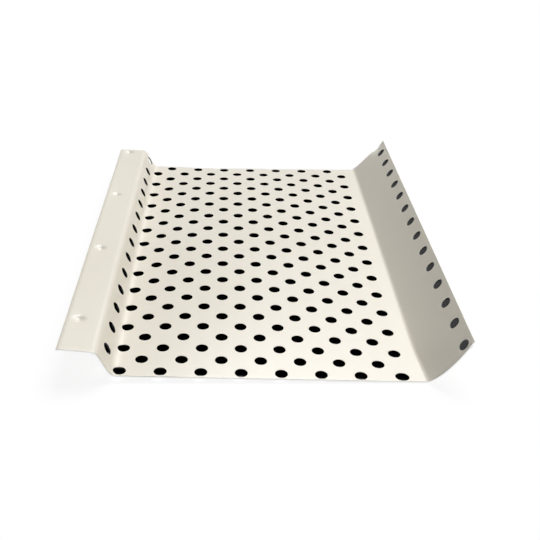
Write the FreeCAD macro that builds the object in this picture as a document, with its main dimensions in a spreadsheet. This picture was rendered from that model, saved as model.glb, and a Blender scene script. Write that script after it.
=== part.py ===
"""Gutter guard: a short length of roll-formed, perforated, coated aluminium sheet.

One piece of sheet is bent into a shallow channel. From left to right its section is a lip flange
with a row of pressed dimples, a sloping step wall with one row of holes, a wide perforated pan, and
a flap that rises outwards with one row of holes near its free edge.

Frame: +X across the sheet from the lip flange to the flap, +Y along its length from the near end,
+Z up. The origin is under the middle of the sheet, on the plane that the pan lies on. Millimetres.
"""

import FreeCAD
import Part
import math
import os

import Sketcher

# Driving dimensions: alias, value in mm (or a count), what it is
SIZES = [
    ("sheet_thickness", 0.5, "thickness of the coated sheet"),
    ("piece_length", 177.8, "length of the piece, end to end"),
    ("pan_width", 98.4, "pan, between the corners of its two bends"),
    ("wall_run", 4.4, "step wall, how far it leans outwards"),
    ("wall_rise", 8.6, "step wall, height of its shoulder over the pan"),
    ("flange_width", 11.9, "lip flange, from the shoulder to its free edge"),
    ("flange_rise", 0.9, "lip flange, how far its free edge stands over the shoulder"),
    ("flap_run", 13.1, "flap, how far it leans outwards"),
    ("flap_rise", 15.3, "flap, height of its free edge over the pan"),
    ("shoulder_radius", 2.1, "inner radius of the bend from flange to wall"),
    ("foot_radius", 3.0, "inner radius of the bend from wall to pan"),
    ("flap_radius", 1.0, "inner radius of the bend from pan to flap"),
    ("hole_diameter", 4.0, "every punched hole"),
    ("hole_pitch", 12.7, "between holes of one row, and between like rows"),
    ("hole_flats", 9, "flat sides of a hole that only drains"),
    ("flat_clearance", 0.02, "how far the corners of those flats stay inside the round hole"),
    ("first_column_inset", 2.2, "from the wall's foot to the first hole of a full row"),
    ("first_row_inset", 3.2, "from the near end to the first full row"),
    ("wall_hole_height", 4.5, "up the wall from its foot to its row of holes"),
    ("flap_hole_inset", 3.5, "down the flap from its free edge to its row of holes"),
    ("middle_screw_row", 4, "rows between an end screw hole and the next one"),
    ("dimple_diameter", 5.0, "rim of a dimple in the flange"),
    ("dimple_depth", 0.9, "depth of a dimple"),
    ("dimple_pitch", 52.0, "between dimples"),
    ("dimple_inset", 4.3, "from the flange's free edge to the line of dimples"),
    ("first_dimple_inset", 19.7, "from the near end to the first dimple"),
    ("trim_margin", 6.0, "how far the end trim reaches past the section"),
]

# Counts that follow from the dimensions: alias, formula, what it is
COUNTS = [
    (
        "full_row_holes",
        "=floor((pan_width - first_column_inset - hole_diameter / 2) / hole_pitch) + 1",
        "holes in a full row of the pan",
    ),
    (
        "row_pairs",
        "=floor((piece_length - first_row_inset - hole_diameter / 2) / hole_pitch - 0.5) + 1",
        "pairs of rows along the piece, one full and one staggered",
    ),
    (
        "dimple_count",
        "=floor((piece_length - first_dimple_inset) / dimple_pitch) + 1",
        "dimples along the flange, the last cut by the far end",
    ),
]

NODE = "gutter_guard_sheet"

doc = FreeCAD.newDocument("gutter_guard")
sheet = doc.addObject("Spreadsheet::Sheet", "Sizes")
for row, (alias, value, note) in enumerate(SIZES + COUNTS, start=1):
    sheet.set(f"A{row}", note)
    sheet.set(f"B{row}", str(value))
    sheet.setAlias(f"B{row}", alias)
doc.recompute()


def size(alias):
    """Value of one cell of the sheet."""
    return float(sheet.get(alias))


# Expressions that several features share
FLANGE_SLANT = "sqrt(Sizes.flange_width^2 + Sizes.flange_rise^2)"
FLAP_SLANT = "sqrt(Sizes.flap_run^2 + Sizes.flap_rise^2)"
LEFT_OVERHANG = f"Sizes.sheet_thickness * Sizes.flange_rise / {FLANGE_SLANT}"
RIGHT_OVERHANG = f"Sizes.sheet_thickness * Sizes.flap_rise / {FLAP_SLANT}"
RUNS = "Sizes.flange_width + Sizes.wall_run + Sizes.pan_width + Sizes.flap_run"
EDGE_X = f"(({LEFT_OVERHANG}) - ({RIGHT_OVERHANG}) - ({RUNS})) / 2"
SHOULDER_X = f"({EDGE_X}) + Sizes.flange_width"
FOOT_X = f"({SHOULDER_X}) + Sizes.wall_run"
FLAP_X = f"({FOOT_X}) + Sizes.pan_width"
NEAR_Y = "-Sizes.piece_length / 2"
FIRST_ROW_Y = f"{NEAR_Y} + Sizes.first_row_inset"


def section_corners():
    """Corners of the sheet's upper face in the section, from flange edge to flap edge, as (x, z)."""
    thick = size("sheet_thickness")
    flange_slant = math.hypot(size("flange_width"), size("flange_rise"))
    flap_slant = math.hypot(size("flap_run"), size("flap_rise"))
    left = thick * size("flange_rise") / flange_slant
    right = thick * size("flap_rise") / flap_slant
    runs = size("flange_width") + size("wall_run") + size("pan_width") + size("flap_run")
    edge_x = (left - right - runs) / 2
    shoulder_x = edge_x + size("flange_width")
    foot_x = shoulder_x + size("wall_run")
    flap_x = foot_x + size("pan_width")
    shoulder_z = thick + size("wall_rise")
    return [
        (edge_x, shoulder_z + size("flange_rise")),
        (shoulder_x, shoulder_z),
        (foot_x, thick),
        (flap_x, thick),
        (flap_x + size("flap_run"), thick + size("flap_rise")),
    ]


def unit(start, end):
    """Unit vector from start to end in the section."""
    run = math.hypot(end[0] - start[0], end[1] - start[1])
    return (end[0] - start[0]) / run, (end[1] - start[1]) / run


def bend(before, corner, after, radius):
    """Tangent points and centre of an arc of the given radius at a corner of the section."""
    into = unit(before, corner)
    away = unit(corner, after)
    turn = math.acos(into[0] * away[0] + into[1] * away[1])
    reach = radius * math.tan(turn / 2)
    first = (corner[0] - reach * into[0], corner[1] - reach * into[1])
    last = (corner[0] + reach * away[0], corner[1] + reach * away[1])
    side = 1 if into[0] * away[1] - into[1] * away[0] > 0 else -1
    centre = (first[0] - side * radius * into[1], first[1] + side * radius * into[0])
    return first, last, centre, side


def vector(point):
    """Sketch vector of a section point."""
    return FreeCAD.Vector(point[0], point[1], 0)


def arc(centre, first, last, side):
    """Arc of a circle from first to last, and the numbers of its ends in that order."""
    radius = math.hypot(first[0] - centre[0], first[1] - centre[1])
    circle = Part.Circle(vector(centre), FreeCAD.Vector(0, 0, 1), radius)
    begin = math.atan2(first[1] - centre[1], first[0] - centre[0])
    finish = math.atan2(last[1] - centre[1], last[0] - centre[0])
    if side > 0:
        return Part.ArcOfCircle(circle, begin, finish), 1, 2
    return Part.ArcOfCircle(circle, finish, begin), 2, 1


def name_last(sketch, number, name, expression):
    """Names a dimension of a sketch and ties it to an expression."""
    sketch.renameConstraint(number, name)
    sketch.setExpression(f"Constraints.{name}", expression)


def plane(body, role):
    """Origin plane of a body."""
    return next(item for item in body.Origin.OriginFeatures if item.Role == role)


def new_sketch(body, name, role):
    """Sketch on an origin plane of the body."""
    sketch = body.newObject("Sketcher::SketchObject", name)
    sketch.AttachmentSupport = [(plane(body, role), "")]
    sketch.MapMode = "FlatFace"
    return sketch


body = doc.addObject("PartDesign::Body", "Sheet")
body.Label = NODE

# The bent section: upper face, flap edge, lower face, flange edge
section = new_sketch(body, "Section", "XZ_Plane")
corners = section_corners()
thickness = size("sheet_thickness")
inner_radii = [size("shoulder_radius"), size("foot_radius"), size("flap_radius")]
bends = []
for place, inner in enumerate(inner_radii, start=1):
    opens_up = place > 1
    upper_radius = inner if opens_up else inner + thickness
    lower_radius = inner + thickness if opens_up else inner
    first, last, centre, side = bend(corners[place - 1], corners[place], corners[place + 1], upper_radius)
    scale = lower_radius / upper_radius
    low_first = tuple(c + scale * (p - c) for p, c in zip(first, centre))
    low_last = tuple(c + scale * (p - c) for p, c in zip(last, centre))
    bends.append((first, last, centre, side, low_first, low_last))


def below(point, start, end):
    """Point on the lower face under a point of a straight run of the upper face."""
    along = unit(start, end)
    return point[0] + thickness * along[1], point[1] - thickness * along[0]


low_edge = below(corners[0], corners[0], corners[1])
low_top = below(corners[4], corners[3], corners[4])
upper = [corners[0]] + [point for item in bends for point in item[:2]] + [corners[4]]
lower = [low_edge] + [point for item in bends for point in item[4:]] + [low_top]

upper_lines = []
lower_lines = []
for count in range(4):
    begin, finish = upper[2 * count], upper[2 * count + 1]
    upper_lines.append(section.addGeometry(Part.LineSegment(vector(begin), vector(finish)), False))
    begin, finish = lower[2 * count], lower[2 * count + 1]
    lower_lines.append(section.addGeometry(Part.LineSegment(vector(begin), vector(finish)), False))
flange_cap = section.addGeometry(Part.LineSegment(vector(corners[0]), vector(low_edge)), False)
flap_cap = section.addGeometry(Part.LineSegment(vector(corners[4]), vector(low_top)), False)

for count, (first, last, centre, side, low_first, low_last) in enumerate(bends):
    shape, head, tail = arc(centre, first, last, side)
    upper_arc = section.addGeometry(shape, False)
    shape, head, tail = arc(centre, low_first, low_last, side)
    lower_arc = section.addGeometry(shape, False)
    for lines, curve in ((upper_lines, upper_arc), (lower_lines, lower_arc)):
        section.addConstraint(Sketcher.Constraint("Tangent", lines[count], 2, curve, head))
        section.addConstraint(Sketcher.Constraint("Tangent", curve, tail, lines[count + 1], 1))
    section.addConstraint(Sketcher.Constraint("Coincident", upper_arc, 3, lower_arc, 3))
    alias = ("shoulder_radius", "foot_radius", "flap_radius")[count]
    inside = lower_arc if count == 0 else upper_arc
    outside = upper_arc if count == 0 else lower_arc
    number = section.addConstraint(Sketcher.Constraint("Radius", inside, inner_radii[count]))
    name_last(section, number, alias, f"Sizes.{alias}")
    number = section.addConstraint(Sketcher.Constraint("Radius", outside, inner_radii[count] + thickness))
    name_last(section, number, f"{alias}_outside", f"Sizes.{alias} + Sizes.sheet_thickness")

# Square ends of the two free edges
for cap, lines, end in ((flange_cap, upper_lines[0], 1), (flap_cap, upper_lines[3], 2)):
    section.addConstraint(Sketcher.Constraint("Coincident", cap, 1, lines, end))
    section.addConstraint(Sketcher.Constraint("Perpendicular", cap, lines))
section.addConstraint(Sketcher.Constraint("Coincident", flange_cap, 2, lower_lines[0], 1))
section.addConstraint(Sketcher.Constraint("Coincident", flap_cap, 2, lower_lines[3], 2))
section.addConstraint(Sketcher.Constraint("Parallel", upper_lines[0], lower_lines[0]))
section.addConstraint(Sketcher.Constraint("Parallel", upper_lines[3], lower_lines[3]))

# Corner points where the straight runs of the upper face would meet carry the dimensions
corner_points = []
for count in range(3):
    point = section.addGeometry(Part.Point(vector(corners[count + 1])), True)
    section.addConstraint(Sketcher.Constraint("PointOnObject", point, 1, upper_lines[count]))
    section.addConstraint(Sketcher.Constraint("PointOnObject", point, 1, upper_lines[count + 1]))
    corner_points.append(point)
shoulder, foot, flap_foot = corner_points


def section_size(kind, from_geo, from_end, to_geo, to_end, value, name, expression):
    """Dimension between two points of the section."""
    made = Sketcher.Constraint(kind, from_geo, from_end, to_geo, to_end, value)
    name_last(section, section.addConstraint(made), name, expression)


section.addConstraint(Sketcher.Constraint("Horizontal", upper_lines[2]))
edge = upper_lines[0]
tip = upper_lines[3]
section_size("DistanceX", -1, 1, edge, 1, corners[0][0], "edge_place", EDGE_X)
section_size("DistanceX", edge, 1, shoulder, 1, size("flange_width"), "flange_width", "Sizes.flange_width")
section_size("DistanceY", shoulder, 1, edge, 1, size("flange_rise"), "flange_rise", "Sizes.flange_rise")
section_size("DistanceX", shoulder, 1, foot, 1, size("wall_run"), "wall_run", "Sizes.wall_run")
section_size("DistanceY", foot, 1, shoulder, 1, size("wall_rise"), "wall_rise", "Sizes.wall_rise")
section_size("DistanceX", foot, 1, flap_foot, 1, size("pan_width"), "pan_width", "Sizes.pan_width")
section_size("DistanceX", flap_foot, 1, tip, 2, size("flap_run"), "flap_run", "Sizes.flap_run")
section_size("DistanceY", flap_foot, 1, tip, 2, size("flap_rise"), "flap_rise", "Sizes.flap_rise")
section_size("DistanceY", -1, 1, foot, 1, thickness, "pan_top", "Sizes.sheet_thickness")

sheet_pad = body.newObject("PartDesign::Pad", "SheetPad")
sheet_pad.Profile = section
sheet_pad.SideType = "Symmetric"
sheet_pad.setExpression("Length", "Sizes.piece_length")
doc.recompute()
plain_volume = body.Shape.Volume


# Dimples: a ball pressed into the flange, with the sheet pushed out below at its own thickness
DIMPLE_BALL = "(Sizes.dimple_diameter^2 / 4 + Sizes.dimple_depth^2) / (2 * Sizes.dimple_depth)"


def dimple_sketch(name):
    """Sketch across the flange at the first dimple, x along the flange, y square to it."""
    sketch = new_sketch(body, name, "XZ_Plane")
    sketch.AttachmentOffset = FreeCAD.Placement(
        FreeCAD.Vector(0, 0, 0), FreeCAD.Rotation(FreeCAD.Vector(0, 0, 1), -4)
    )
    along = f"Sizes.dimple_inset / {FLANGE_SLANT}"
    height = "Sizes.sheet_thickness + Sizes.wall_rise + Sizes.flange_rise"
    sketch.setExpression("AttachmentOffset.Base.x", f"({EDGE_X}) + Sizes.flange_width * {along}")
    sketch.setExpression("AttachmentOffset.Base.y", f"{height} - Sizes.flange_rise * {along}")
    sketch.setExpression("AttachmentOffset.Base.z", "Sizes.piece_length / 2 - Sizes.first_dimple_inset")
    sketch.setExpression("AttachmentOffset.Rotation.Angle", "-atan2(Sizes.flange_rise; Sizes.flange_width)")
    return sketch


def half_disc(sketch, radius, radius_expression, height, height_expression):
    """Half disc against the sketch's upright axis, to be turned into a ball."""
    centre = FreeCAD.Vector(0, height, 0)
    top = FreeCAD.Vector(0, height + radius, 0)
    bottom = FreeCAD.Vector(0, height - radius, 0)
    round_edge = Part.Circle(centre, FreeCAD.Vector(0, 0, 1), radius)
    side = sketch.addGeometry(Part.ArcOfCircle(round_edge, -math.pi / 2, math.pi / 2), False)
    spine = sketch.addGeometry(Part.LineSegment(bottom, top), False)
    sketch.addConstraint(Sketcher.Constraint("Coincident", side, 1, spine, 1))
    sketch.addConstraint(Sketcher.Constraint("Coincident", side, 2, spine, 2))
    sketch.addConstraint(Sketcher.Constraint("PointOnObject", side, 3, -2))
    sketch.addConstraint(Sketcher.Constraint("PointOnObject", side, 1, -2))
    sketch.addConstraint(Sketcher.Constraint("PointOnObject", side, 2, -2))
    number = sketch.addConstraint(Sketcher.Constraint("Radius", side, radius))
    name_last(sketch, number, "ball_radius", radius_expression)
    number = sketch.addConstraint(Sketcher.Constraint("DistanceY", -1, 1, side, 3, height))
    name_last(sketch, number, "ball_height", height_expression)


def cap_profile(sketch, radius, radius_expression, height, height_expression):
    """Cap of the outer ball under the middle of the flange's thickness, against the upright axis."""
    centre = FreeCAD.Vector(0, height, 0)
    half = math.sqrt(radius ** 2 - (height + thickness / 2) ** 2)
    rim = FreeCAD.Vector(half, -thickness / 2, 0)
    middle = FreeCAD.Vector(0, -thickness / 2, 0)
    bottom = FreeCAD.Vector(0, height - radius, 0)
    round_edge = Part.Circle(centre, FreeCAD.Vector(0, 0, 1), radius)
    rim_angle = math.atan2(rim.y - height, rim.x)
    side = sketch.addGeometry(Part.ArcOfCircle(round_edge, -math.pi / 2, rim_angle), False)
    lid = sketch.addGeometry(Part.LineSegment(rim, middle), False)
    spine = sketch.addGeometry(Part.LineSegment(middle, bottom), False)
    sketch.addConstraint(Sketcher.Constraint("Coincident", side, 2, lid, 1))
    sketch.addConstraint(Sketcher.Constraint("Coincident", lid, 2, spine, 1))
    sketch.addConstraint(Sketcher.Constraint("Coincident", spine, 2, side, 1))
    sketch.addConstraint(Sketcher.Constraint("Horizontal", lid))
    sketch.addConstraint(Sketcher.Constraint("PointOnObject", side, 3, -2))
    sketch.addConstraint(Sketcher.Constraint("PointOnObject", spine, 1, -2))
    sketch.addConstraint(Sketcher.Constraint("PointOnObject", spine, 2, -2))
    number = sketch.addConstraint(Sketcher.Constraint("Radius", side, radius))
    name_last(sketch, number, "ball_radius", radius_expression)
    number = sketch.addConstraint(Sketcher.Constraint("DistanceY", -1, 1, side, 3, height))
    name_last(sketch, number, "ball_height", height_expression)
    number = sketch.addConstraint(Sketcher.Constraint("DistanceY", lid, 2, -1, 1, thickness / 2))
    name_last(sketch, number, "half_sheet", "Sizes.sheet_thickness / 2")


ball = (size("dimple_diameter") ** 2 / 4 + size("dimple_depth") ** 2) / (2 * size("dimple_depth"))
ball_height = ball - size("dimple_depth")
HEIGHT = f"{DIMPLE_BALL} - Sizes.dimple_depth"

dimple_out = dimple_sketch("DimpleOut")
cap_profile(dimple_out, ball + thickness, f"{DIMPLE_BALL} + Sizes.sheet_thickness", ball_height, HEIGHT)
dimple_in = dimple_sketch("DimpleIn")
half_disc(dimple_in, ball, DIMPLE_BALL, ball_height, HEIGHT)
doc.recompute()

bulge = body.newObject("PartDesign::Revolution", "DimpleBulge")
bulge.Profile = dimple_out
bulge.ReferenceAxis = (dimple_out, ["V_Axis"])
bulge.Angle = 360
body.Tip = bulge
doc.recompute()
bulged_volume = body.Shape.Volume

hollow = body.newObject("PartDesign::Groove", "DimpleHollow")
hollow.Profile = dimple_in
hollow.ReferenceAxis = (dimple_in, ["V_Axis"])
hollow.Angle = 360
body.Tip = hollow
doc.recompute()
if body.Shape.Volume >= bulged_volume:
    raise RuntimeError("the dimple's hollow cut nothing")

dimples = body.newObject("PartDesign::LinearPattern", "Dimples")
dimples.Originals = [bulge, hollow]
dimples.Direction = (dimple_in, ["N_Axis"])
dimples.Reversed = True
dimples.setExpression("Length", "Sizes.dimple_pitch * (Sizes.dimple_count - 1)")
dimples.setExpression("Occurrences", "Sizes.dimple_count")
body.Tip = dimples
doc.recompute()

# Shear cut at the far end, which takes off what the last dimple leaves past it
trim = new_sketch(body, "EndTrim", "XZ_Plane")
trim.setExpression("AttachmentOffset.Base.z", "-Sizes.piece_length / 2")
left = corners[0][0] - size("trim_margin")
right = -left
low = -size("trim_margin")
high = corners[4][1] + size("trim_margin")
frame = [(left, low), (right, low), (right, high), (left, high)]
sides = []
for count in range(4):
    line = Part.LineSegment(vector(frame[count]), vector(frame[(count + 1) % 4]))
    sides.append(trim.addGeometry(line, False))
for count in range(4):
    trim.addConstraint(Sketcher.Constraint("Coincident", sides[count], 2, sides[(count + 1) % 4], 1))
    trim.addConstraint(Sketcher.Constraint(("Horizontal", "Vertical")[count % 2], sides[count]))
number = trim.addConstraint(Sketcher.Constraint("DistanceX", sides[0], 1, -1, 1, -left))
name_last(trim, number, "left", f"-({EDGE_X}) + Sizes.trim_margin")
number = trim.addConstraint(Sketcher.Constraint("DistanceX", -1, 1, sides[0], 2, right))
name_last(trim, number, "right", f"-({EDGE_X}) + Sizes.trim_margin")
number = trim.addConstraint(Sketcher.Constraint("DistanceY", sides[0], 1, -1, 1, -low))
name_last(trim, number, "low", "Sizes.trim_margin")
number = trim.addConstraint(Sketcher.Constraint("DistanceY", -1, 1, sides[2], 1, high))
name_last(trim, number, "high", "Sizes.flap_rise + Sizes.wall_rise + Sizes.trim_margin")
end_cut = body.newObject("PartDesign::Pocket", "EndCut")
end_cut.Profile = trim
end_cut.setExpression("Length", "Sizes.dimple_pitch * Sizes.dimple_count")
body.Tip = end_cut
doc.recompute()


def hole_sketch(name, x, y, z, lean):
    """Sketch with its origin at a hole's centre on the upper face, leaned about the length."""
    sketch = new_sketch(body, name, "XY_Plane")
    sketch.AttachmentOffset = FreeCAD.Placement(
        FreeCAD.Vector(0, 0, 0), FreeCAD.Rotation(FreeCAD.Vector(0, 1, 0), 30)
    )
    sketch.setExpression("AttachmentOffset.Base.x", x)
    sketch.setExpression("AttachmentOffset.Base.y", y)
    sketch.setExpression("AttachmentOffset.Base.z", z)
    sketch.setExpression("AttachmentOffset.Rotation.Angle", lean)
    return sketch


def ring_at_centre(sketch, diameter, expression, guide):
    """Circle round the origin of a sketch; a guide only carries other lines."""
    ring = Part.Circle(FreeCAD.Vector(0, 0, 0), FreeCAD.Vector(0, 0, 1), diameter / 2)
    geo = sketch.addGeometry(ring, guide)
    sketch.addConstraint(Sketcher.Constraint("Coincident", geo, 3, -1, 1))
    number = sketch.addConstraint(Sketcher.Constraint("Diameter", geo, diameter))
    name_last(sketch, number, "ring_diameter", expression)
    return geo


def round_hole(sketch):
    """Punched hole that a screw may use."""
    ring_at_centre(sketch, size("hole_diameter"), "Sizes.hole_diameter", False)


def flat_hole(sketch):
    """Punched hole that only drains: flat sides with their corners on a circle."""
    diameter = size("hole_diameter") - 2 * size("flat_clearance")
    ring = ring_at_centre(sketch, diameter, "Sizes.hole_diameter - 2 * Sizes.flat_clearance", True)
    flats = int(size("hole_flats"))
    turns = [2 * math.pi * (count - 0.5) / flats for count in range(flats + 1)]
    points = [(diameter / 2 * math.cos(turn), diameter / 2 * math.sin(turn)) for turn in turns]
    sides = []
    for first, last in zip(points, points[1:]):
        sides.append(sketch.addGeometry(Part.LineSegment(vector(first), vector(last)), False))
    for count, side in enumerate(sides):
        sketch.addConstraint(Sketcher.Constraint("Coincident", side, 2, sides[(count + 1) % flats], 1))
        sketch.addConstraint(Sketcher.Constraint("PointOnObject", side, 1, ring))
    for side in sides[1:]:
        sketch.addConstraint(Sketcher.Constraint("Equal", sides[0], side))
    sketch.addConstraint(Sketcher.Constraint("Vertical", sides[0]))


def repeat(pattern, number, axis, spacing, occurrences):
    """Sets the first or second direction of a pattern: an axis, a spacing and a count."""
    setattr(pattern, f"Direction{number}", axis)
    pattern.setExpression(f"Length{number}", f"({spacing}) * ({occurrences} - 1)")
    pattern.setExpression(f"Occurrences{number}", occurrences)


def punch(name, sketch, along_spacing, along_count, across_spacing=None, across_count=None):
    """Cut through the sheet on both sides of a sketch, repeated along it and, if asked, across it."""
    before = body.Shape.Volume
    pocket = body.newObject("PartDesign::Pocket", f"{name}Punch")
    pocket.Profile = sketch
    pocket.SideType = "Symmetric"
    pocket.setExpression("Length", "Sizes.sheet_thickness * 4")
    pocket.Refine = False
    rows = body.newObject("PartDesign::LinearPattern", f"{name}Rows")
    rows.Originals = [pocket]
    repeat(rows, "", (sketch, ["V_Axis"]), along_spacing, along_count)
    if across_count:
        repeat(rows, "2", (sketch, ["H_Axis"]), across_spacing, across_count)
    rows.Refine = False
    body.Tip = rows
    doc.recompute()
    if body.Shape.Volume >= before:
        raise RuntimeError(f"{name} cut nothing")


# Places of the first holes, each as x, z and lean
PAN_TOP = "Sizes.sheet_thickness"
FIRST_COLUMN_X = f"({FOOT_X}) + Sizes.first_column_inset"
UP_WALL = "Sizes.wall_hole_height / sqrt(Sizes.wall_run^2 + Sizes.wall_rise^2)"
UP_FLAP = f"(1 - Sizes.flap_hole_inset / {FLAP_SLANT})"
PAN_HOLE = (FIRST_COLUMN_X, PAN_TOP, "0")
WALL_HOLE = (
    f"({FOOT_X}) - Sizes.wall_run * {UP_WALL}",
    f"{PAN_TOP} + Sizes.wall_rise * {UP_WALL}",
    "atan2(Sizes.wall_rise; Sizes.wall_run)",
)
FLAP_HOLE = (
    f"({FLAP_X}) + Sizes.flap_run * {UP_FLAP}",
    f"{PAN_TOP} + Sizes.flap_rise * {UP_FLAP}",
    "-atan2(Sizes.flap_rise; Sizes.flap_run)",
)
STAGGERED_Y = f"{FIRST_ROW_Y} + Sizes.hole_pitch / 2"
PITCH = "Sizes.hole_pitch"
PAIRS = "Sizes.row_pairs"


# Screw holes are round: the pan's corners, and in the wall's and the flap's row of holes the two at
# the ends and two nearer the middle. The wall's row is in line with the staggered rows of the pan,
# and the flap's with the full ones
END_SPACING = "Sizes.hole_pitch * (Sizes.row_pairs - 1)"
MIDDLE_START = "Sizes.hole_pitch * Sizes.middle_screw_row"
MIDDLE_SPACING = f"{END_SPACING} - 2 * {MIDDLE_START}"
SLOPING_ROWS = (("Wall", WALL_HOLE, STAGGERED_Y), ("Flap", FLAP_HOLE, FIRST_ROW_Y))
pan_x, pan_z, level = PAN_HOLE
corner = hole_sketch("PanScrewHole", pan_x, FIRST_ROW_Y, pan_z, level)
round_hole(corner)
punch("PanScrew", corner, END_SPACING, "2", "Sizes.hole_pitch * (Sizes.full_row_holes - 1)", "2")
for name, (x, z, lean), y in SLOPING_ROWS:
    ends = hole_sketch(f"{name}EndScrewHole", x, y, z, lean)
    round_hole(ends)
    punch(f"{name}EndScrew", ends, END_SPACING, "2")
    middle = hole_sketch(f"{name}MiddleScrewHole", x, f"{y} + {MIDDLE_START}", z, lean)
    round_hole(middle)
    punch(f"{name}MiddleScrew", middle, MIDDLE_SPACING, "2")

# The other holes of the same rows, and the pan's full rows and staggered rows, which are half a pitch
# on with one hole fewer
for name, (x, z, lean), y in SLOPING_ROWS:
    row = hole_sketch(f"{name}Row", x, y, z, lean)
    flat_hole(row)
    punch(name, row, PITCH, PAIRS)
full = hole_sketch("FullRow", pan_x, FIRST_ROW_Y, pan_z, level)
flat_hole(full)
punch("Full", full, PITCH, PAIRS, PITCH, "Sizes.full_row_holes")
staggered = hole_sketch("StaggeredRow", f"{pan_x} + Sizes.hole_pitch / 2", STAGGERED_Y, pan_z, level)
flat_hole(staggered)
punch("Staggered", staggered, PITCH, PAIRS, PITCH, "Sizes.full_row_holes - 1")

# Every object has to be sound before anything is written
for item in doc.Objects:
    if "Invalid" in item.State or "Error" in item.State:
        raise RuntimeError(f"{item.Name} failed: {item.State}")
shape = body.Shape
if shape.isNull() or not shape.isValid() or len(shape.Solids) != 1:
    raise RuntimeError("the sheet is not one valid solid")
if shape.Volume >= plain_volume:
    raise RuntimeError("the holes took nothing from the sheet")

os.makedirs("parts", exist_ok=True)
shape.exportStep(f"parts/{body.Label}.step")
box = FreeCAD.BoundBox()
for vertex in shape.Vertexes:
    box.add(vertex.Point)
print(f"{body.Label}: volume {shape.Volume:.1f} mm3, {len(shape.Faces)} faces")
print(f"x {box.XMin:.3f} to {box.XMax:.3f}, y {box.YMin:.3f} to {box.YMax:.3f}, z {box.ZMin:.3f} to {box.ZMax:.3f}")
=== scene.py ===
"""Gutter guard: the looks of a short length of bent, perforated, off-white coated sheet.

The sheet is worked out flat, as it was punched: one coordinate runs across it from the lip flange's
free edge to the flap's free edge, the other along it from the near end to the far one. The section
then bends the flat sheet. Dents and bulges (pressed dimples, the pan's crown, the flap's bow) are
added square to it, and the twist, the bent corners and the hand-cut edges move its points. Lengths
are in millimetres until the mesh is made, which is in metres.
"""
import math

import bpy
import numpy as np
from mathutils import Euler, Matrix, Vector


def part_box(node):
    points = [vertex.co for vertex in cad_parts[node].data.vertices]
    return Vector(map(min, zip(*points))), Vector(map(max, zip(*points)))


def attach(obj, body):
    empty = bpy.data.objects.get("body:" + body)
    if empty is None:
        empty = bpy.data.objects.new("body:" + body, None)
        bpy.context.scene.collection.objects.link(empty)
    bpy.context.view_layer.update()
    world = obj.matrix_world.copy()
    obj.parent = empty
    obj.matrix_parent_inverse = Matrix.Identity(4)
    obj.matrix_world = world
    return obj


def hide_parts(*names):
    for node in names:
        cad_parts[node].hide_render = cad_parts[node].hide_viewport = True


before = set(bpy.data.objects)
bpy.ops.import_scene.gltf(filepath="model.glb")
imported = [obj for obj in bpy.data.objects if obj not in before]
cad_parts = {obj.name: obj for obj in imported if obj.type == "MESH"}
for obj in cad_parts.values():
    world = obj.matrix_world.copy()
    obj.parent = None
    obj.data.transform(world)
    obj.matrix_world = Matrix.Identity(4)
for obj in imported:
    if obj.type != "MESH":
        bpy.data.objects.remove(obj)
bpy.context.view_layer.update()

NODE = "gutter_guard_sheet"
METRE = 1000.0
low, high = (np.array(corner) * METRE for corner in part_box(NODE))

# Section: run and rise of each leg of the upper face, as in the part's source, and the radius of each
# bend on that face; the flap's fold is a millimetre softer than in the source
THICKNESS = 0.5
FLANGE = (11.9, -0.9)
WALL = (4.4, -8.6)
PAN = (98.4, 0.0)
FLAP = (13.1, 15.3)
BEND_RADII = np.array([2.6, 3.0, 2.0])
SECTION_POINTS = 20001

# Holes and dimples as the photograph shows them: the holes are a shade wider than in the part's
# source, the dimples shallower and 1 to 2 mm nearer the near end, each in a drawn-in surround
PITCH = 12.7
HOLE_RADIUS = 2.05
FULL_COLUMNS = 8
ROW_PAIRS = 14
FIRST_COLUMN_INSET = 2.2
FIRST_ROW_INSET = 3.2
FLAP_HOLE_INSET = 3.5
DIMPLE_RADIUS = 2.5
DIMPLE_DEPTH = 0.6
DIMPLE_PITCH = 51.6
DIMPLE_INSET = 4.3
FIRST_DIMPLE_INSET = 18.8
DIMPLE_COUNT = 4
DRAWN_DEPTH = 0.14
DRAWN_REACH = (2.4, 4.5)

# The pan stands up in its middle, nearer the wall than the flap, in a skewed arch with faint waves
CROWN_HEIGHT = 2.1
CROWN_SKEW = 0.79
CROWN_POWER = 2.8
WAVE_HEIGHT = 0.05
WAVE_LENGTHS = (5.9, 9.7)
WAVE_PHASE = 0.7
WAVE_SLANT = 31.0

# The whole piece is twisted, its far end is bent up at the foot of the wall, and its fold is opened
# outwards at the near end. Each reach is across, then along
TWIST = 0.98
FAR_LIFT = 0.8
FAR_LIFT_REACH = (18.0, 12.0)
NEAR_FLARE = 1.2
NEAR_FLARE_REACH = (9.0, 12.0)

# The flap is bowed outwards at its near end, and knocked at its far corner at a share of its height
NEAR_BOW = 0.5
BOW_SCALE = 4.6
BOW_LEAN = 0.3
KNOCK_DEPTH = 0.9
KNOCK_PLACE = 0.75
KNOCK_REACH = (0.14, 4.0)

# Run-out of the hand-cut ends at the lip, the fold and the flap's edge, and of the flap's edge at the
# near and the far end
NEAR_END_SKEW = (0.3, 0.95, 0.8)
FAR_END_SKEW = (-0.75, -0.15, -0.05)
END_FADE = 0.09 * PITCH
FLAP_END_BULGE = 1.7
FLAP_EDGE_SKEW = (0.8, 0.1)
FLAP_HOLE_SHARE = 0.55

# Edges left by the rolls, the shear and the punch
LIP_ROLL = 0.3
LIP_ROLL_WIDTH = 1.2
EDGE_ROUND = 0.08
RIM_ROUND = 0.04
RIM_BAND = 0.45

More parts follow.
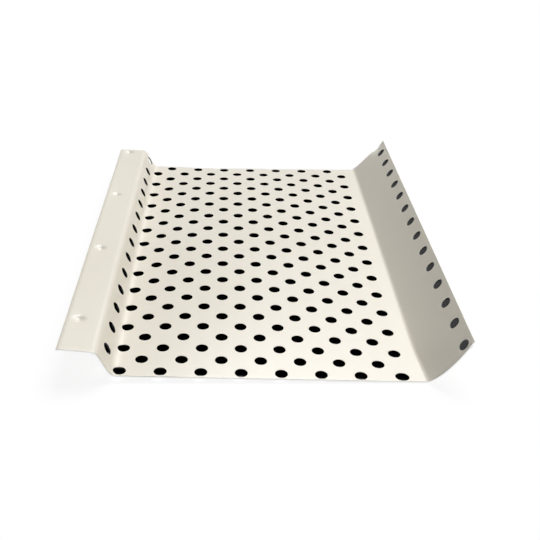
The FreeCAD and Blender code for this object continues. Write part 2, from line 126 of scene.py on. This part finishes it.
# Mesh: a pitch holds fourteen cells, a hole takes a block of seven by seven, and rows crowd together
# over the dimples. Slopes are taken over a short step, and an edge that turns by more than the sharp
# angle, in degrees, is shaded as an edge
CELLS = 14
BLOCK = CELLS // 2
FINE_STEP = 0.45
CROWD_REACH = 1.4 * DIMPLE_RADIUS
SLOPE_STEP = 0.02
SHARP_ANGLE = 35.0

# Camera, fitted to the holes in the photograph: its place, its angles in degrees and its lens
CAMERA_PLACE = (-14.2, -306.4, 157.7)
CAMERA_PITCH = 28.32
CAMERA_YAW = 3.69
CAMERA_ROLL = 2.75
CAMERA_LENS = 56.8
SENSOR_WIDTH = 36.0

# Light: weak surroundings and suns, each with its strength, the direction towards it and its spread in
# degrees: a broad key from behind, a narrow one that glints on the near part of the pan, two low ones
AMBIENT = 0.025
SUNS = {
    "key": (2.64, (0.3, 0.55, 0.78), 40.0),
    "glint": (0.58, (0.03, 0.64, 0.76), 14.0),
    "fill": (0.05, (-0.94, 0.0, 0.34), 40.0),
    "side": (0.16, (0.94, 0.1, 0.34), 40.0),
}

# Floor: it lies a hair below the piece, and where a line of sight through a hole meets it, it is
# painted near black, a painted shade. The limits of the painted shade lie so far from the ends, the
# foot and the fold, and move by so much for each millimetre that the twist raises the sheet there
FLOOR_GAP = 0.05
FLOOR_REACH = 2500.0
FLOOR_MARGINS_X = (20.0, 40.0)
FLOOR_MARGINS_Y = (20.0, 70.0)
FLOOR_STEP = 1.0
FLOOR_LIFT = 0.91
DARK_NEAR = 0.7
DARK_FAR = 0.5
DARK_LEFT = 9.0
DARK_RIGHT = 1.66 * PITCH
SIGHT_NEAR = 1.4
SIGHT_FAR = 2.3
SIGHT_RIGHT = 0.6
FLANGE_OPENING = 0.9 * PITCH
FLANGE_FADE = 3.0
LEFT_FADE = 2.0
# Past the flap the painted shade is sheared along the lines of sight, and painted a little less dark
FLAP_SPAN = 1.63 * PITCH
FLAP_SHEAR_NEAR = 1.66 * PITCH
FLAP_SHEAR_FAR = 2.8 * PITCH
FLAP_PALER = 0.04

# Colour sockets of a Mix node
COLOUR_A, COLOUR_B, COLOUR_OUT = 6, 7, 2

# Developed section: straight and bent stretches by turns, the widths at which they meet, and the
# heading there. Corners are where the straight legs would meet without a bend
legs = np.array([FLANGE, WALL, PAN, FLAP])
leg_headings = np.arctan2(legs[:, 1], legs[:, 0])
turns = np.abs(np.diff(leg_headings))
setbacks = BEND_RADII * np.tan(turns / 2)
stretches = np.empty(2 * len(legs) - 1)
stretches[0::2] = np.hypot(legs[:, 0], legs[:, 1]) - np.append(0, setbacks) - np.append(setbacks, 0)
stretches[1::2] = BEND_RADII * turns
breaks = np.append(0, np.cumsum(stretches))
headings = np.repeat(leg_headings, 2)
shoulder_start, shoulder_end, foot_start, foot_end, fold_start, fold_end, sheet_width = breaks[1:]
foot_corner = foot_end - setbacks[1]
flap_corner = fold_start + setbacks[2]
first_column = foot_corner + FIRST_COLUMN_INSET
first_row = low[1] + FIRST_ROW_INSET
flap_row = sheet_width - FLAP_HOLE_INSET
dimple_rows = low[1] + FIRST_DIMPLE_INSET + DIMPLE_PITCH * np.arange(DIMPLE_COUNT)


def running_sum(step, values):
    """Integral of evenly spaced values by the trapezium rule, starting at nought."""
    return np.append(0, np.cumsum((values[1:] + values[:-1]) / 2) * step)


section_across = np.linspace(0, sheet_width, SECTION_POINTS)
section_heading = np.interp(section_across, breaks, headings)
section_x = running_sum(section_across[1], np.cos(section_heading))
section_z = running_sum(section_across[1], np.sin(section_heading))
section_z += THICKNESS - np.interp(foot_end, section_across, section_z)
lower_corners = section_x[[0, -1]] + THICKNESS * np.sin(section_heading[[0, -1]])
section_x += (low[0] + high[0] - lower_corners.sum()) / 2


def smooth_step(value):
    """Rises from 0 to 1 as the value does, level at both ends: 3 v squared less 2 v cubed."""
    value = np.clip(value, 0, 1)
    return value * value * (3 - 2 * value)


def bell(across, along, centre, row, reach):
    """One at a centre and a row, and falling round them: e to the power of less the squares of the
    distances across and along, each over its reach."""
    return np.exp(-((across - centre) / reach[0]) ** 2 - ((along - row) / reach[1]) ** 2)


def up_flap(across):
    """Share of the way up the flap, from nought at its fold to one at its edge."""
    return np.clip((across - flap_corner) / (sheet_width - flap_corner), 0, 1)


def unevenness(across, along):
    """How far the upper face stands proud of the plain section, square to it.

    Crown: a sine across the pan, skewed towards the wall, times one less a power of the distance from
    the middle of the length. Waves: two crossed sines that fade with the crown. Bow: a cubic up the
    flap, nought at its fold and its edge, that fades from the near to the far end. Knock: a bell at
    the flap's far corner. Dimple: the square of one less the squared distance from its centre, in a
    shallow oval bell. Lip: a parabola that rolls the flange's edge down."""
    place = along / high[1]
    over_pan = np.clip((across - foot_corner) / (flap_corner - foot_corner), 0, 1)
    crown = CROWN_HEIGHT * np.sin(math.pi * over_pan ** CROWN_SKEW) * (1 - np.abs(place) ** CROWN_POWER)
    waves = WAVE_HEIGHT * np.sin(across / WAVE_LENGTHS[0] + WAVE_PHASE)
    waves *= np.sin(along / WAVE_LENGTHS[1] + across / WAVE_SLANT) * crown / CROWN_HEIGHT

    share = up_flap(across)
    bow = NEAR_BOW * (1 - place) / 2 * BOW_SCALE * share * (1 - share) * (1 - BOW_LEAN * share)
    knock = KNOCK_DEPTH * bell(share, along, KNOCK_PLACE, high[1], KNOCK_REACH)

    nearest = np.round((along - dimple_rows[0]) / DIMPLE_PITCH).astype(int)
    row = dimple_rows[np.clip(nearest, 0, DIMPLE_COUNT - 1)]
    off_centre = (across - DIMPLE_INSET) ** 2 + (along - row) ** 2
    dimple = DIMPLE_DEPTH * np.clip(1 - off_centre / DIMPLE_RADIUS ** 2, 0, 1) ** 2
    dimple += DRAWN_DEPTH * bell(across, along, DIMPLE_INSET, row, DRAWN_REACH)

    lip = LIP_ROLL * np.clip(1 - across / LIP_ROLL_WIDTH, 0, 1) ** 2
    return crown + waves - bow - knock - dimple - lip


def end_shift(across, along):
    """How far the hand-cut ends run out of square, fading within the first hole's margin: straight runs
    from edge to fold to edge, and on the flap's near end a parabola that stands out."""
    marks = [0, flap_corner, sheet_width]
    share = up_flap(across)
    near = np.interp(across, marks, NEAR_END_SKEW) - FLAP_END_BULGE * 4 * share * (1 - share)
    far = np.interp(across, marks, FAR_END_SKEW)
    near *= np.clip(1 - (along - low[1]) / END_FADE, 0, 1)
    far *= np.clip(1 - (high[1] - along) / END_FADE, 0, 1)
    return near + far


def edge_shift(across, along):
    """How far the flap's edge runs out up the flap: straight from end to end, in full at the edge, by a
    share at the holes, and fading below them."""
    margin = HOLE_RADIUS + RIM_BAND
    marks = FLAP_HOLE_INSET + np.array([-FLAP_HOLE_INSET, -margin, margin, 3 * margin])
    part = np.interp(sheet_width - across, marks, [1, FLAP_HOLE_SHARE, FLAP_HOLE_SHARE, 0])
    return part * np.interp(along, [low[1], high[1]], FLAP_EDGE_SKEW)


def upper_face(across, along):
    """Point of the upper face: the bent section at that width, moved square to it by the unevenness
    and up it by the shift of the flap's edge, sideways by the flare of the fold, along by the shift of
    the ends, and up by the lift of the far end and by the twist, one plus the product of the places
    across and along."""
    heading = np.interp(across, breaks, headings)
    proud = unevenness(across, along)
    out = edge_shift(across, along)
    x = np.interp(across, section_across, section_x) - proud * np.sin(heading) + out * np.cos(heading)
    x += NEAR_FLARE * bell(across, along, flap_corner, low[1], NEAR_FLARE_REACH)
    z = np.interp(across, section_across, section_z) + proud * np.cos(heading) + out * np.sin(heading)
    z += TWIST * (1 + (2 * across / sheet_width - 1) * along / high[1])
    z += FAR_LIFT * bell(across, along, foot_corner, high[1], FAR_LIFT_REACH)
    return np.stack([x, along + end_shift(across, along), z], axis=-1)


def sheet_point(across, along, depth):
    """Point under the upper face by a depth along its normal, the cross product of its two slopes."""
    slope_x = upper_face(across + SLOPE_STEP, along) - upper_face(across - SLOPE_STEP, along)
    slope_y = upper_face(across, along + SLOPE_STEP) - upper_face(across, along - SLOPE_STEP)
    normal = np.cross(slope_x, slope_y)
    normal /= np.linalg.norm(normal, axis=-1, keepdims=True)
    return upper_face(across, along) - np.asarray(depth)[..., None] * normal


def edge_drop(across, along):
    """Quarter round of the upper face at the four sheared edges, by the distance to the nearest."""
    from_side = np.minimum(across, sheet_width - across)
    from_end = np.minimum(along - low[1], high[1] - along)
    short = np.clip(1 - np.minimum(from_side, from_end) / EDGE_ROUND, 0, 1)
    return EDGE_ROUND * (1 - np.sqrt(1 - short ** 2))


def lines_between(start, stop, step):
    """Evenly spaced lines from start up to but without stop, about a step apart."""
    return np.linspace(start, stop, max(2, round((stop - start) / step) + 1))[:-1]


def crowd_rows(across, along):
    """Moves the rows of the flange so that they lie twice as close over its dimples, a shift that is
    piecewise linear along the flange and fades to nought down the wall."""
    even, close = (
        np.sort(np.concatenate([
            [low[1], high[1]], dimple_rows - reach, dimple_rows[:-1] + reach,
        ]))
        for reach in (2 * CROWD_REACH, CROWD_REACH)
    )
    share = smooth_step((foot_start - across) / (foot_start - shoulder_start))
    return along + share * (np.interp(along, even, close) - along)


def lines_across():
    """Mesh lines across the sheet, and the numbers of the lattice's and the flap block's first lines.

    The lattice is even, from three quarters of a pitch before the first column of holes to a quarter
    past the last. The flap's holes have a block of their own, and finer lines lie over the bends and
    the edges."""
    lattice = first_column + PITCH * np.linspace(-0.75, FULL_COLUMNS - 0.75, CELLS * FULL_COLUMNS + 1)
    flap_block = flap_row + PITCH * np.linspace(-0.25, 0.25, BLOCK + 1)
    flange_and_wall = np.concatenate([
        [0, EDGE_ROUND / 3],
        lines_between(EDGE_ROUND, shoulder_start, FINE_STEP),
        lines_between(shoulder_start, shoulder_end, FINE_STEP / 2),
        lines_between(shoulder_end, lattice[0], FINE_STEP),
    ])
    fold = np.concatenate([
        lines_between(lattice[-1], fold_start, 2 * FINE_STEP)[1:],
        lines_between(fold_start, fold_end, FINE_STEP / 3),
        lines_between(fold_end, flap_block[0], 2 * FINE_STEP),
    ])
    flap_edge = sheet_width - np.array([EDGE_ROUND, EDGE_ROUND / 3, 0])
    lines = np.concatenate([flange_and_wall, lattice, fold, flap_block, flap_edge])
    lattice_start = len(flange_and_wall)
    return lines, lattice_start, lattice_start + len(lattice) + len(fold)


def lines_along():
    """Mesh lines along the sheet, and the number of the lattice's first line. The lattice is even, from
    a quarter of a pitch before the first row of holes, and its outer lines are moved to the ends."""
    lattice = first_row + PITCH * np.linspace(-0.25, ROW_PAIRS - 0.25, CELLS * ROW_PAIRS + 1)
    lattice[[0, -1]] = low[1] + EDGE_ROUND, high[1] - EDGE_ROUND
    near_edge = low[1] + np.array([0, EDGE_ROUND / 3])
    far_edge = high[1] - np.array([EDGE_ROUND / 3, 0])
    return np.concatenate([near_edge, lattice, far_edge]), len(near_edge)


def hole_places(lattice_start, flap_start, row_start):
    """Centre of every hole across and along, and the first line across and along of the block of cells
    that it takes. Full rows hold the pan's columns and the flap's hole; staggered rows lie half a pitch
    on, with the wall's hole and the pan's columns half a pitch before those of the full rows."""
    columns = np.arange(FULL_COLUMNS)
    rows = np.arange(ROW_PAIRS)[:, None]
    full = (
        np.append(first_column + PITCH * columns, flap_row),
        first_row + PITCH * rows,
        np.append(lattice_start + BLOCK + CELLS * columns, flap_start),
        row_start + CELLS * rows,
    )
    staggered = (
        first_column + PITCH * (columns - 0.5),
        first_row + PITCH * (rows + 0.5),
        lattice_start + CELLS * columns,
        row_start + BLOCK + CELLS * rows,
    )
    both = [[part.ravel() for part in np.broadcast_arrays(*kind)] for kind in (full, staggered)]
    return [np.concatenate(parts)[:, None] for parts in zip(*both)]


def block_border():
    """Lines across and along of the points round a block of cells, turning left from its near left
    corner: out, level, back and level."""
    side = np.arange(BLOCK)
    level = np.zeros(BLOCK, int)
    border = np.concatenate([side, level + BLOCK, BLOCK - side, level])
    return border, np.roll(border, BLOCK)


def cells(ids):
    """Four corners of each cell of a grid of points, turning left."""
    return np.stack([ids[:-1, :-1], ids[:-1, 1:], ids[1:, 1:], ids[1:, :-1]], axis=-1)


def strip(first, second):
    """Faces between two closed loops of like points."""
    after = [np.roll(loop, -1, axis=-1) for loop in (first, second)]
    return np.stack([first, after[0], after[1], second], axis=-1).reshape(-1, 4)


def cut_edge(upper, lower):
    """Faces between an open line of the upper face and the same line of the lower one."""
    return np.stack([lower[:-1], lower[1:], upper[1:], upper[:-1]], axis=-1)


def make_sheet():
    """The perforated sheet as one closed mesh.

    A grid of lines across and along carries both faces. Each hole replaces a block of cells by rings:
    the block's border, a band round the rim, the rim, the start of the hole's wall, and its lower
    rim, joined point to point by equal angles."""
    across_lines, lattice_start, flap_start = lines_across()
    along_lines, row_start = lines_along()
    across, along = np.meshgrid(across_lines, along_lines)
    along = crowd_rows(across, along)
    hole_across, hole_along, block_column, block_row = hole_places(lattice_start, flap_start, row_start)

    # Points of both faces, and of four rings round every hole from its near left
    count = 4 * BLOCK
    angle = -0.75 * math.pi + 2 * math.pi * np.arange(count) / count
    layers = [
        (across, along, edge_drop(across, along)),
        (across, along, np.full(across.shape, THICKNESS)),
    ]
    for radius, depth in (
        (HOLE_RADIUS + RIM_BAND, 0),
        (HOLE_RADIUS + RIM_ROUND, 0),
        (HOLE_RADIUS, RIM_ROUND),
        (HOLE_RADIUS, THICKNESS),
    ):
        ring_across = hole_across + radius * np.cos(angle)
        ring_along = hole_along + radius * np.sin(angle)
        layers.append((ring_across, ring_along, np.full(ring_across.shape, depth)))
    points = np.concatenate([sheet_point(*layer).reshape(-1, 3) for layer in layers]) / METRE
    # The twisted piece is set down on the floor
    points[:, 2] -= points[:, 2].min()

    # Numbers of those points, the borders of the blocks, and the cells that no hole has taken
    ids = np.arange(len(points))
    upper, lower = ids[:2 * across.size].reshape(2, *across.shape)
    band, rim, wall_top, wall_foot = ids[2 * across.size:].reshape(4, -1, count)
    border_column, border_row = block_border()
    border = (block_row + border_row, block_column + border_column)
    free = np.ones((len(along_lines) - 1, len(across_lines) - 1), bool)
    cell = np.arange(BLOCK)
    free[block_row[..., None] + cell[:, None], block_column[..., None] + cell] = False

    coated = [
        cells(upper)[free],
        cells(lower)[free][:, ::-1],
        strip(upper[border], band),
        strip(band, rim),
        strip(rim, wall_top),
        strip(wall_foot, lower[border]),
    ]
    sheared = [
        cut_edge(upper[0], lower[0]),
        cut_edge(upper[-1, ::-1], lower[-1, ::-1]),
        cut_edge(upper[::-1, 0], lower[::-1, 0]),
        cut_edge(upper[:, -1], lower[:, -1]),
    ]
    punched = [strip(wall_top, wall_foot)]
    kinds = (coated, sheared, punched)
    counts = [sum(len(part) for part in kind) for kind in kinds]
    used, faces = np.unique(np.concatenate(coated + sheared + punched), return_inverse=True)
    faces = faces.reshape(-1, 4)

    mesh = bpy.data.meshes.new("perforated_sheet")
    mesh.from_pydata(points[used].tolist(), [], faces.tolist())
    mesh.polygons.foreach_set("material_index", np.repeat(np.arange(len(kinds), dtype=np.int32), counts))
    mesh.polygons.foreach_set("use_smooth", np.ones(len(faces), bool))
    mesh.set_sharp_from_angle(angle=math.radians(SHARP_ANGLE))
    mesh.update()
    return mesh


def linear(colour):
    """Linear red, green, blue and alpha of an sRGB hex value such as EBE4DA."""
    levels = [int(colour[place:place + 2], 16) / 255 for place in (0, 2, 4)]
    return (*[v / 12.92 if v <= 0.04045 else ((v + 0.055) / 1.055) ** 2.4 for v in levels], 1.0)


def add(tree, kind, links=None, inputs=None, **settings):
    """Adds one node with its settings, its input values and the outputs that feed its inputs."""
    made = tree.nodes.new(kind)
    for name, value in settings.items():
        setattr(made, name, value)
    for name, value in (inputs or {}).items():
        made.inputs[name].default_value = value
    for name, output in (links or {}).items():
        tree.links.new(output, made.inputs[name])
    return made


def new_material(name):
    """Material with an empty node tree, and that tree."""
    material = bpy.data.materials.new(name)
    material.use_nodes = True
    material.node_tree.nodes.clear()
    return material, material.node_tree


def seen_rays(tree):
    """One for rays from the camera and for those that a metal or a glass sends on, else nought."""
    rays = add(tree, "ShaderNodeLightPath").outputs
    mirrored = add(
        tree, "ShaderNodeMath",
        {0: rays["Is Glossy Ray"], 1: rays["Is Transmission Ray"]},
        operation="MAXIMUM",
    )
    seen = add(
        tree, "ShaderNodeMath",
        {0: rays["Is Camera Ray"], 1: mirrored.outputs["Value"]},
        operation="MAXIMUM",
    )
    return seen.outputs["Value"]


def coil_coating():
    """Off-white polyester coil coating, rolled on and baked: an even, low sheen with a faint orange
    peel, and tone that drifts a little over a hand's width."""
    material, tree = new_material("off_white_coil_coating")
    place = add(tree, "ShaderNodeTexCoord").outputs["Object"]
    # The drift of tone is about 45 mm wide
    drift = add(tree, "ShaderNodeTexNoise", {"Vector": place}, {"Scale": METRE / 45, "Detail": 2.0})
    tone = add(
        tree, "ShaderNodeMix",
        {"Factor": drift.outputs["Fac"]},
        {COLOUR_A: linear("E6DFD0"), COLOUR_B: linear("EAE5D7")},
        data_type="RGBA",
    )
    # Orange peel is about 1 mm across; it is drawn at 2.5 mm so that it shows
    peel = add(tree, "ShaderNodeTexNoise", {"Vector": place}, {"Scale": METRE / 2.5, "Detail": 1.0})
    bump = add(
        tree, "ShaderNodeBump",
        {"Height": peel.outputs["Fac"]},
        {"Strength": 0.35, "Distance": 0.06 / METRE},
    )
    sheen = add(
        tree, "ShaderNodeMapRange",
        {"Value": drift.outputs["Fac"]},
        {"To Min": 0.3, "To Max": 0.38},
    )
    paint = add(
        tree, "ShaderNodeBsdfPrincipled",
        {
            "Base Color": tone.outputs[COLOUR_OUT],
            "Roughness": sheen.outputs["Result"],
            "Normal": bump.outputs["Normal"],
        },
        {"IOR": 1.5},
    )
    add(tree, "ShaderNodeOutputMaterial", {"Surface": paint.outputs["BSDF"]})
    return material


def bare_metal(name, dark, pale, smooth, rough):
    """Bare aluminium with fine drag marks, between two tones and two roughnesses."""
    material, tree = new_material(name)
    place = add(tree, "ShaderNodeTexCoord").outputs["Object"]
    # Drag marks are under 0.1 mm apart; they are drawn at 0.4 mm so that they show
    marks = add(tree, "ShaderNodeTexNoise", {"Vector": place}, {"Scale": METRE / 0.4, "Detail": 2.0})
    tone = add(
        tree, "ShaderNodeMix",
        {"Factor": marks.outputs["Fac"]},
        {COLOUR_A: linear(dark), COLOUR_B: linear(pale)},
        data_type="RGBA",
    )
    dullness = add(
        tree, "ShaderNodeMapRange",
        {"Value": marks.outputs["Fac"]},
        {"To Min": smooth, "To Max": rough},
    )
    metal = add(
        tree, "ShaderNodeBsdfPrincipled",
        {"Base Color": tone.outputs[COLOUR_OUT], "Roughness": dullness.outputs["Result"]},
        {"Metallic": 1.0},
    )
    add(tree, "ShaderNodeOutputMaterial", {"Surface": metal.outputs["BSDF"]})
    return material


def floor_paper():
    """Matt white paper. Seen directly or in a reflection it is lifted to white, less its shadow; in its
    dark part it is painted near black, a painted shade under the piece so that the holes look deep."""
    material, tree = new_material("white_floor_paper")
    shade = add(tree, "ShaderNodeAttribute", attribute_name="painted_shade_share").outputs["Fac"]
    seen = seen_rays(tree)
    # As a source of light the paper is white; where it is seen, most of its white is the lift
    white = add(
        tree, "ShaderNodeMix",
        {"Factor": seen},
        {COLOUR_A: linear("F2F2F2"), COLOUR_B: linear("5E5E5E")},
        data_type="RGBA",
    )
    # Painted shade: the paper is mixed towards near black by its share of painted shade
    tone = add(
        tree, "ShaderNodeMix",
        {"Factor": shade, COLOUR_A: white.outputs[COLOUR_OUT]},
        {COLOUR_B: linear("060608")},
        data_type="RGBA",
    )
    paper = add(tree, "ShaderNodeBsdfDiffuse", {"Color": tone.outputs[COLOUR_OUT]})
    bare = add(tree, "ShaderNodeMath", {1: shade}, {0: 1.0}, operation="SUBTRACT")
    lift = add(tree, "ShaderNodeMath", {0: seen, 1: bare.outputs["Value"]}, operation="MULTIPLY")
    amount = add(
        tree, "ShaderNodeMath",
        {0: lift.outputs["Value"]},
        {1: FLOOR_LIFT},
        operation="MULTIPLY",
    )
    glow = add(tree, "ShaderNodeEmission", {"Strength": amount.outputs["Value"]})
    both = add(tree, "ShaderNodeAddShader", {0: paper.outputs["BSDF"], 1: glow.outputs["Emission"]})
    add(tree, "ShaderNodeOutputMaterial", {"Surface": both.outputs["Shader"]})
    return material


def make_floor():
    """Flat floor just under the piece, with a share of painted shade at each point.

    The share is a product of soft steps: across, from under the flange to a little past the flap, and
    along, from end to end, moved on where the twist lifts an end or the flange is open, and sheared
    with the line of sight through the flap's holes."""
    fine_x, fine_y = (
        np.arange(low[axis] - before, high[axis] + after, FLOOR_STEP)
        for axis, (before, after) in enumerate((FLOOR_MARGINS_X, FLOOR_MARGINS_Y))
    )
    x, y = np.meshgrid(*(
        np.concatenate([[-FLOOR_REACH], fine, [FLOOR_REACH]]) for fine in (fine_x, fine_y)
    ))
    foot_x, flap_x = np.interp([foot_corner, flap_corner], section_across, section_x)
    past_flap = np.clip((x - flap_x) / FLAP_SPAN, 0, 1)
    near_rise, far_rise = (TWIST * np.clip(1 + end * x / high[0], 0, 2) for end in (-1, 1))
    far_rise += FAR_LIFT * bell(x, high[1], foot_x, high[1], FAR_LIFT_REACH)
    right_rise = TWIST * np.clip(1 + y / high[1], 0, 2)
    near = low[1] + DARK_NEAR + SIGHT_NEAR * near_rise + past_flap * FLAP_SHEAR_NEAR
    near += FLANGE_OPENING * smooth_step((foot_x - x) / FLANGE_FADE)
    far = high[1] + DARK_FAR + SIGHT_FAR * far_rise + past_flap * FLAP_SHEAR_FAR
    left = foot_x - DARK_LEFT
    right = flap_x + DARK_RIGHT + SIGHT_RIGHT * right_rise
    # Painted shade: how far each floor point is painted towards near black
    shade = smooth_step((x - left) / LEFT_FADE) * smooth_step(right - x)
    shade *= smooth_step(y - near) * smooth_step(far - y)
    shade *= 1 - FLAP_PALER * smooth_step(2 * past_flap)

    points = np.stack([x, y, np.full(x.shape, -FLOOR_GAP)], axis=-1).reshape(-1, 3) / METRE
    faces = cells(np.arange(x.size).reshape(x.shape)).reshape(-1, 4)
    mesh = bpy.data.meshes.new("floor")
    mesh.from_pydata(points.tolist(), [], faces.tolist())
    mesh.attributes.new("painted_shade_share", "FLOAT", "POINT").data.foreach_set("value", shade.ravel())
    mesh.materials.append(floor_paper())
    mesh.update()
    return mesh


def add_object(name, data):
    """Object at the origin in the scene."""
    made = bpy.data.objects.new(name, data)
    bpy.context.scene.collection.objects.link(made)
    return made


def make_world():
    """Even white surroundings: weak as light, plain white where they are seen or mirrored."""
    world = bpy.data.worlds.new("studio")
    world.use_nodes = True
    tree = world.node_tree
    tree.nodes.clear()
    strength = add(
        tree, "ShaderNodeMapRange",
        {"Value": seen_rays(tree)},
        {"To Min": AMBIENT, "To Max": 1.0},
    )
    sky = add(
        tree, "ShaderNodeBackground",
        {"Strength": strength.outputs["Result"]},
        {"Color": linear("FFFFFF")},
    )
    add(tree, "ShaderNodeOutputWorld", {"Surface": sky.outputs["Background"]})
    bpy.context.scene.world = world


def make_lights():
    """Every sun, turned to shine from its own direction."""
    for name, (strength, towards, spread) in SUNS.items():
        sun = bpy.data.lights.new(name, "SUN")
        sun.energy = strength
        sun.angle = math.radians(spread)
        add_object(name, sun).rotation_euler = Vector(towards).to_track_quat("Z", "Y").to_euler()


def make_camera():
    """Camera at the photograph's viewing angle: a pitch down, a yaw to the right, then a roll."""
    data = bpy.data.cameras.new("camera")
    data.sensor_width = SENSOR_WIDTH
    data.lens = CAMERA_LENS
    camera = add_object("camera", data)
    aim = Euler((math.radians(90 - CAMERA_PITCH), 0, math.radians(-CAMERA_YAW))).to_matrix()
    turn = aim @ Matrix.Rotation(math.radians(CAMERA_ROLL), 3, "Z")
    camera.matrix_world = Matrix.Translation(np.array(CAMERA_PLACE) / METRE) @ turn.to_4x4()
    bpy.context.scene.camera = camera


make_camera()
make_world()
make_lights()
add_object("floor", make_floor())

sheet_mesh = make_sheet()
sheet_mesh.materials.append(coil_coating())
# The sheared edges are pale; the walls of the holes were burnished by the punch, and their dark grey
# tone is painted shade for the shadow they lie in
sheet_mesh.materials.append(bare_metal(
    "sheared_aluminium", dark="E6E6E4", pale="F4F4F2", smooth=0.3, rough=0.5,
))
sheet_mesh.materials.append(bare_metal(
    "punched_aluminium_painted_shade", dark="36363A", pale="505054", smooth=0.08, rough=0.2,
))
sheet = add_object("perforated_sheet", sheet_mesh)
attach(sheet, "root")
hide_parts(NODE)

bpy.context.scene.view_settings.view_transform = "Standard"
